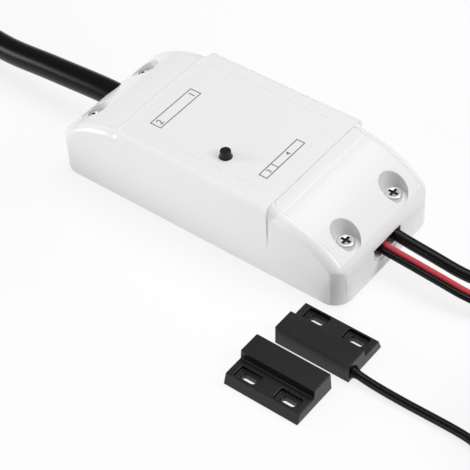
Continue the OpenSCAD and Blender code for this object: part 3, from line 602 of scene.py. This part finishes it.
class DressCase(bpy.types.Operator):
    """Rounds the case's edges and gives it, its screws and its button their finishes"""

    bl_idname = "garage.dress_case"
    bl_label = "Case"

    # Side steps, which fade out between two heights and two distances from the middle
    STEP = 0.3
    FOOT = 1.4
    LID_END = 22.9
    FADE_Z = (9, 17)
    FADE_X = (25, 34)
    SLICES_Z = (0.9, FOOT, 9, 11, 13, 15, 17)
    SLICES_X = (25, 28, 31, 34)
    LINE_DEPTH = 0.12

    # Nubs at the ends of the lid's round edge
    NUB_X = (20.1, 21)
    NUB_Y = (18.61, 19.01)
    NUB_Z = 22.2
    NUB_SLOPE = 0.7
    NUB_OVER = 0.03

    # Covers, with the rims of their screw wells, of the hole for the mains lead and of the slot for the rest
    SEAM_FILL = 0.05
    SHARP = 40
    RIM_NEAR = 0.03
    SCREW_AT = Vector((38.7, 9.8))
    WELL_R = 3.6
    WELL_Z = 12.3
    HOLE_AT = Vector((1.5, 10.4))
    HOLE_R = 3.55
    HOLE_Z = 10.5
    HOLE_X = 42
    SLOT_X = 43.9
    SLOT_Y = (-5.61, 5.21)
    SLOT_Z = (4.7, 9.41)

    # Screws and button
    # Reach and depth, in millimetres, of the faces in each cross that get the painted shade
    CROSS_R = 2.0
    CROSS_DEPTH = (0.1, 0.9)
    HEAD_EDGE = 0.08
    TIP_R = 1.36
    TIP_EDGE = 0.12

    def execute(self, context):
        settings = context.scene.garage_case
        white = finish_of("case_white", settings.white, roughness=settings.gloss, grain=1400, depth=0.006,
                          mottle=0.015)
        dark = finish_of("button_black", settings.button, roughness=0.35, grain=1400, depth=0.01, mottle=0.1,
                         specular=0.3)
        self.body(white)
        self.cover("input_cover", -1, settings, white)
        self.cover("output_cover", 1, settings, white)
        dress(["base_plate"], white)
        self.screws(settings)
        self.button(dark)
        return {"FINISHED"}

    def body(self, white):
        """The upper case. Its side steps fade out towards the base, and its frame line is shallow."""
        bm = node_copy("upper_case")
        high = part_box("upper_case")[1]
        self.even_edge(bm)
        slice_across(bm, 2, self.SLICES_Z)
        for end in (-1, 1):
            slice_across(bm, 0, [end * x for x in self.SLICES_X])
        for vert in bm.verts:
            outside = abs(vert.co.y) - (high.y - self.STEP * MM)
            if outside > -NEAR * MM and abs(vert.co.x) > (self.LID_END - NEAR) * MM:
                z = vert.co.z / MM
                out = fade(z, *self.FADE_Z) * fade(abs(vert.co.x) / MM, *self.FADE_X)
                foot = self.FOOT - math.sqrt(self.FOOT ** 2 - max(self.FOOT - z, 0) ** 2)
                side = min(abs(vert.co.y) + out * self.STEP * MM, high.y - foot * MM)
                vert.co.y = math.copysign(side, vert.co.y)
            if abs(vert.co.z - (high.z - self.LINE_DEPTH * MM)) < NEAR * MM:
                vert.co.z += self.LINE_DEPTH / 2 * MM
        bmesh.ops.remove_doubles(bm, verts=bm.verts, dist=JOIN)
        stand_for("upper_case", bm, [white])

    def even_edge(self, bm):
        """Takes the four small nubs off the lid's round edge and closes it over them."""
        nubs = []
        for vert in bm.verts:
            x, y, z = (abs(c) / MM for c in vert.co)
            edge_z = self.NUB_Z - self.NUB_SLOPE * (y - self.NUB_Y[0])
            there = self.NUB_X[0] < x < self.NUB_X[1] and self.NUB_Y[0] < y < self.NUB_Y[1]
            if there and z > edge_z + self.NUB_OVER:
                nubs.append(vert)
        bmesh.ops.delete(bm, geom=nubs, context="VERTS")
        made = bmesh.ops.holes_fill(bm, edges=[e for e in bm.edges if e.is_boundary])
        bm.normal_update()
        bmesh.ops.reverse_faces(bm, faces=[f for f in made["faces"] if f.normal.z < 0])

    def cover(self, node, end, settings, white):
        """An end cover that closes most of its seam, with round rims on its wells and its opening."""
        bm = node_copy(node)
        low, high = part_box(node)
        outer = end * max(end * low.x, end * high.x)
        grow_x = 1 + self.SEAM_FILL * MM / (high.x - low.x)
        grow_y = 1 + 2 * self.SEAM_FILL * MM / (high.y - low.y)
        rims = [e for e in bm.edges if is_sharp(e, self.SHARP) and self.on_rim(e, end)]
        for vert in bm.verts:
            vert.co.x = outer + (vert.co.x - outer) * grow_x
            vert.co.y *= grow_y
            if vert.co.z < low.z + NEAR * MM:
                vert.co.z -= self.SEAM_FILL * MM
        soften(bm, rims, settings.edge)
        stand_for(node, bm, [white])

    def on_rim(self, edge, end):
        """True for an edge on the outer rim of a screw well, or of the opening for the cords."""
        return all(self.at_rim(*(vert.co / MM), end) for vert in edge.verts)

    def at_rim(self, x, y, z, end):
        """True for a point, in millimetres, on one of those rims."""
        x *= end
        from_screw = math.hypot(x - self.SCREW_AT.x, abs(y) - self.SCREW_AT.y)
        if abs(from_screw - self.WELL_R) < self.RIM_NEAR and z > self.WELL_Z:
            return True
        if end > 0:
            inside = self.SLOT_Y[0] < y < self.SLOT_Y[1] and self.SLOT_Z[0] < z < self.SLOT_Z[1]
            return inside and x > self.SLOT_X
        from_hole = math.hypot(y - self.HOLE_AT.x, z - self.HOLE_AT.y)
        return abs(from_hole - self.HOLE_R) < self.RIM_NEAR and z > self.HOLE_Z and x > self.HOLE_X

    def screws(self, settings):
        """Screws with round head edges, and a cross painted near black as shade."""
        steel = finish_of("screw_steel", settings.steel, roughness=0.22, grain=900, depth=0.01, mottle=0.1,
                          metallic=1.0)
        painted_cross_shade = finish_of("screw_painted_cross_shade", settings.painted_cross_shade, roughness=0.5, grain=900, depth=0.01, mottle=0.1)
        bm = node_copy("cover_screws")
        top = max(v.co.z for v in bm.verts) / MM
        shallow, deep = self.CROSS_DEPTH
        # Faces inside each cross take the second material, a near-black painted shade
        for face in bm.faces:
            middle = face.calc_center_median() / MM
            off = (Vector((abs(middle.x), abs(middle.y))) - self.SCREW_AT).length
            if top - deep < middle.z < top - shallow and off < self.CROSS_R:
                face.material_index = 1
        soften(bm, [e for e in bm.edges if is_sharp(e, self.SHARP)], self.HEAD_EDGE * MM, 2)
        heads = mesh_of(bm, "cover_screw_heads")
        piece = add_object("cover_screw_heads", heads, [steel, painted_cross_shade])
        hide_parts("cover_screws")

    def button(self, dark):
        """The button, with a full tip and a round top edge."""
        bm = node_copy("button")
        low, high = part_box("button")
        middle = (low + high) / 2
        tip = [v for v in bm.verts if v.co.z > high.z - NEAR * MM]
        wide = max(math.hypot(v.co.x - middle.x, v.co.y - middle.y) for v in tip)
        grow = self.TIP_R * MM / wide
        bmesh.ops.scale(bm, verts=tip, vec=(grow, grow, 1), space=Matrix.Translation(-middle))
        soften(bm, [e for e in bm.edges if is_sharp(e, self.SHARP)], self.TIP_EDGE * MM)
        stand_for("button", bm, [dark], "button")


class MarkLid(bpy.types.Operator):
    """Prints plain terminal numbers in thin boxes on the lid"""

    bl_idname = "garage.mark_lid"
    bl_label = "Lid marks"

    PRINT_T = 0.02
    LINE_W = 0.27
    TEXT_SHARE = 0.85
    TEXT_WEIGHT = 0.015

    # Name, two corners, lines across, and each number with its place along the box
    BOXES = (("input_box", (-18.4, -11.4), (-15.2, 4.2), (), (("1", 2.6), ("2", -9.8))),
             ("output_box", (14.5, -10.8), (16.8, 4.2), (-6.2,), (("3", -8.5), ("4", -1))))

    def execute(self, context):
        ink = finish_of("lid_ink", context.scene.garage_case.ink, roughness=0.5, grain=2000, depth=0.002,
                        mottle=0.1)
        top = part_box("upper_case")[1].z
        for name, low, high, cuts, labels in self.BOXES:
            self.box(name, low, high, cuts, top, ink)
            size = self.TEXT_SHARE * (high[0] - low[0])
            for label, y in labels:
                self.number(label, (low[0] + high[0]) / 2, y, top, size, ink)
        return {"FINISHED"}

    def number(self, label, x, y, top, size, ink):
        """One plain number, as a thin mesh on the lid."""
        text = bpy.data.curves.new("number", "FONT")
        text.body = label
        text.size = size * MM
        text.extrude = self.PRINT_T / 2 * MM
        text.offset = self.TEXT_WEIGHT * MM
        shaper = bpy.data.objects.new("number", text)
        mesh = bpy.data.meshes.new_from_object(shaper)
        bpy.data.objects.remove(shaper)
        wide, tall = ([v.co[axis] for v in mesh.vertices] for axis in (0, 1))
        middle = Vector((min(wide) + max(wide), min(tall) + max(tall), 0)) / 2
        mesh.transform(Matrix.Translation((x * MM, y * MM, top + self.PRINT_T / 2 * MM))
                       @ Matrix.Rotation(math.radians(90), 4, "Z") @ Matrix.Translation(-middle))
        mesh.materials.clear()
        add_object("mark_" + label, mesh, [ink])

    def box(self, name, low, high, cuts, top, ink):
        """A printed rectangle with lines across, as flat bars."""
        bm = bmesh.new()
        half = self.LINE_W / 2
        for x in (low[0], high[0]):
            self.bar(bm, (x - half, low[1] - half), (x + half, high[1] + half), top)
        for y in (low[1], *cuts, high[1]):
            self.bar(bm, (low[0] + half, y - half), (high[0] - half, y + half), top)
        add_object(name, mesh_of(bm, name), [ink])

    def bar(self, bm, low, high, top):
        """One flat bar of ink on the lid, between two corners."""
        size = Vector((high[0] - low[0], high[1] - low[1], self.PRINT_T)) * MM
        middle = Vector(((low[0] + high[0]) / 2, (low[1] + high[1]) / 2, self.PRINT_T / 2)) * MM
        middle.z += top
        bmesh.ops.create_cube(bm, size=1, matrix=Matrix.LocRotScale(middle, None, size))


class DressSensors(bpy.types.Operator):
    """Rounds the edges of the reed switch and its magnet and gives them their finishes"""

    bl_idname = "garage.dress_sensors"
    bl_label = "Sensor pair"

    def execute(self, context):
        settings = context.scene.garage_sensors
        black = finish_of("sensor_black", settings.black, roughness=0.34, grain=2200, depth=0.02, mottle=0.15,
                          specular=0.38)
        resin = finish_of("potting_resin", (0.07, 0.07, 0.075), roughness=0.45, grain=300, depth=0.05,
                          mottle=0.2)
        glass = finish_of("reed_glass", (0.75, 0.85, 0.82), roughness=0.05, grain=200, depth=0.0, mottle=0.02,
                          change=0.02, transmission=0.9)
        plated = finish_of("plated_steel", (0.6, 0.59, 0.55), roughness=0.28, grain=900, depth=0.005,
                           mottle=0.1, metallic=1.0)
        softened("reed_housing", settings.edge, [black])
        softened("magnet_housing", settings.edge, [black], "magnet")
        dress(["reed_plate", "magnet_plate"], resin)
        dress(["reed_glass"], glass)
        dress(["reed_blades", "bar_magnet"], plated)
        return {"FINISHED"}


class DressPlug(bpy.types.Operator):
    """Gives the plug, its strain relief, the ties and the bare ends their shapes and finishes"""

    bl_idname = "garage.dress_plug"
    bl_label = "Plug and ties"

    PLUG_EDGE = 0.5
    TIE_EDGE = 0.15
    SLEEVE_L = 9.5

    # Strain relief: walls at its two ends, and a rib's outline as shares along it and millimetres out
    THIN_WALL = 0.3
    THICK_WALL = 2
    RIBS = 7
    RIB = ((0.16, 0), (0.24, 0.32), (0.32, 0.46), (0.5, 0.5), (0.68, 0.46), (0.76, 0.32), (0.84, 0))
    RELIEF_SIDES = 40

    # Strands: six about one, turned by an angle in degrees
    STRAND_R = 0.16
    STRAND_SIDES = 8
    STRAND_STEPS = 24
    STRAND_TWIST = 400
    STRANDS_ROUND = 6
    STRAND_SMOOTH = 60

    def execute(self, context):
        moulded = finish_of("plug_moulding", (0.008, 0.008, 0.009), roughness=0.4, grain=1200, depth=0.02,
                            mottle=0.15, specular=0.3)
        pin = finish_of("pin_nickel", (0.66, 0.64, 0.6), roughness=0.22, grain=700, depth=0.004, mottle=0.08,
                        metallic=1.0)
        sleeve = finish_of("pin_sleeve", (0.012, 0.012, 0.013), roughness=0.45, grain=1200, depth=0.01,
                           mottle=0.15, specular=0.3)
        tie = finish_of("tie_band", (0.03, 0.03, 0.033), roughness=0.5, grain=1500, depth=0.02, mottle=0.15,
                        specular=0.3)
        softened("plug_body", self.PLUG_EDGE * MM, [moulded])
        for node in ("mains_tie", "sensor_tie"):
            softened(node, self.TIE_EDGE * MM, [tie])
        self.pins(pin, sleeve)
        self.relief(moulded)
        self.strands(pin)
        return {"FINISHED"}

    def pins(self, pin, sleeve):
        """Plug pins with a black sleeve at the root."""
        bm = node_copy("plug_pins")
        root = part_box("plug_pins")[0].x / MM + self.SLEEVE_L
        slice_across(bm, 0, [root])
        for face in bm.faces:
            if face.calc_center_median().x < root * MM:
                face.material_index = 1
        stand_for("plug_pins", bm, [pin, sleeve])

    def relief(self, rubber):
        """A sleeve with round ribs that narrows towards the lead, turned from its outline."""
        low, high = (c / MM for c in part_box("strain_relief"))
        axis = (low + high) / 2
        step = (high.x - low.x) / self.RIBS
        thin, thick = MAINS_D / 2 + self.THIN_WALL, MAINS_D / 2 + self.THICK_WALL
        outline = [(0, 0), (0, thin)]
        for rib in range(self.RIBS):
            r = thin + (thick - thin) * (rib + 0.5) / self.RIBS
            outline += [((rib + along) * step, r + out) for along, out in self.RIB]
        outline += [(high.x - low.x, thick), (high.x - low.x, 0)]
        bm = bmesh.new()
        verts = [bm.verts.new(Vector((low.x + x, axis.y + r, axis.z)) * MM) for x, r in outline]
        edges = [bm.edges.new(pair) for pair in zip(verts, verts[1:])]
        bmesh.ops.spin(bm, geom=verts + edges, cent=axis * MM, axis=(1, 0, 0), dvec=(0, 0, 0),
                       angle=math.tau, steps=self.RELIEF_SIDES, use_merge=True)
        bmesh.ops.remove_doubles(bm, verts=bm.verts, dist=TINY)
        bmesh.ops.recalc_face_normals(bm, faces=bm.faces)
        stand_for("strain_relief", bm, [rubber])

    def strands(self, metal):
        """Twisted tinned strands at the ends of the output wires."""
        pair = smooth_line(PAIR_ROUTE, ROUTE_STEPS)
        turn = (pair[-1] - pair[-2]).normalized().to_track_quat("Z", "Y").to_matrix().to_4x4()
        for name, side in (("red_wire_strands", 1), ("black_wire_strands", -1)):
            bm = bmesh.new()
            end = Matrix.Translation(beside(pair, side * PAIR_GAP / 2)[-1] * MM) @ turn
            self.strand(bm, end, 0)
            for k in range(self.STRANDS_ROUND):
                about = Matrix.Rotation(math.tau * k / self.STRANDS_ROUND, 4, "Z")
                self.strand(bm, end @ about, self.STRAND_R * 2)
            piece = add_object(name, mesh_of(bm, name, self.STRAND_SMOOTH), [metal])
            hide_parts("bare_ends")

    def strand(self, bm, end, out):
        """One strand that winds a little more than once round the axis of its wire."""
        made = bmesh.ops.create_circle(bm, cap_ends=True, segments=self.STRAND_SIDES,
                                       radius=self.STRAND_R * MM)
        bmesh.ops.translate(bm, verts=made["verts"], vec=(out * MM, 0, 0))
        faces = list({f for v in made["verts"] for f in v.link_faces})
        others = set(bm.verts) - set(made["verts"])
        bmesh.ops.spin(bm, geom=faces, cent=(0, 0, 0), axis=(0, 0, 1),
                       dvec=(0, 0, BARE_L / self.STRAND_STEPS * MM),
                       angle=math.radians(self.STRAND_TWIST), steps=self.STRAND_STEPS)
        mine = [v for v in bm.verts if v not in others]
        bmesh.ops.holes_fill(bm, edges=[e for e in bm.edges if e.is_boundary])
        bmesh.ops.recalc_face_normals(bm, faces=list({f for v in mine for f in v.link_faces}))
        bmesh.ops.transform(bm, matrix=end, verts=mine)


class DressInside(bpy.types.Operator):
    """Gives the board and what stands on it their finishes"""

    bl_idname = "garage.dress_inside"
    bl_label = "Inside"

    def execute(self, context):
        for name, color, roughness, metallic, nodes in (
                ("solder_mask", (0.02, 0.12, 0.05), 0.4, 0.0, ["circuit_board", "radio_module"]),
                ("relay_blue", (0.02, 0.08, 0.32), 0.35, 0.0, ["relay", "varistor"]),
                ("tape_yellow", (0.65, 0.45, 0.06), 0.45, 0.0, ["transformer", "film_capacitor"]),
                ("can_sleeve", (0.02, 0.02, 0.03), 0.4, 0.0, ["input_capacitor", "output_capacitor"]),
                ("terminal_green", (0.03, 0.2, 0.07), 0.45, 0.0, ["input_terminal", "output_terminal"]),
                ("socket_white", (0.75, 0.73, 0.66), 0.45, 0.0, ["sensor_socket"]),
                ("core_brown", (0.1, 0.035, 0.015), 0.45, 0.0, ["mains_cores"]),
                ("lamp_clear", (0.8, 0.86, 0.9), 0.15, 0.0, ["status_lamp"]),
                ("switch_black", (0.02, 0.02, 0.022), 0.45, 0.0, ["switch_body"]),
                ("tinned_steel", (0.6, 0.6, 0.6), 0.32, 1.0,
                 ["terminal_screws", "radio_shield", "switch_dome", "switch_plate"])):
            dress(nodes, finish_of(name, color, roughness, grain=1200, depth=0.01, mottle=0.12,
                                   metallic=metallic))
        return {"FINISHED"}


class GaragePanel(bpy.types.Panel):
    """Lists the steps that dress the controller"""

    bl_idname = "VIEW3D_PT_garage_controller"
    bl_label = "Garage door controller"
    bl_space_type = "VIEW_3D"
    bl_region_type = "UI"
    bl_category = "Controller"

    def draw(self, context):
        for step in STEPS:
            self.layout.operator(step.bl_idname)


STEPS = (BuildStage, DressPlug, BuildCords, DressCase, MarkLid, DressSensors, DressInside)
SETTINGS = {"garage_case": CaseSettings, "garage_sensors": SensorSettings, "garage_cords": CordSettings,
            "garage_stage": StageSettings}


def register():
    """Adds the settings, the steps and their panel to Blender."""
    for cls in (*SETTINGS.values(), *STEPS, GaragePanel):
        bpy.utils.register_class(cls)
    for name, cls in SETTINGS.items():
        setattr(bpy.types.Scene, name, PointerProperty(type=cls))


def unregister():
    """Takes them out again."""
    for name in SETTINGS:
        delattr(bpy.types.Scene, name)
    for cls in (GaragePanel, *reversed(STEPS), *reversed(list(SETTINGS.values()))):
        bpy.utils.unregister_class(cls)


def main():
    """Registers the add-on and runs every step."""
    register()
    for step in STEPS:
        area, name = step.bl_idname.split(".")
        getattr(getattr(bpy.ops, area), name)()


if __name__ == "__main__":
    main()
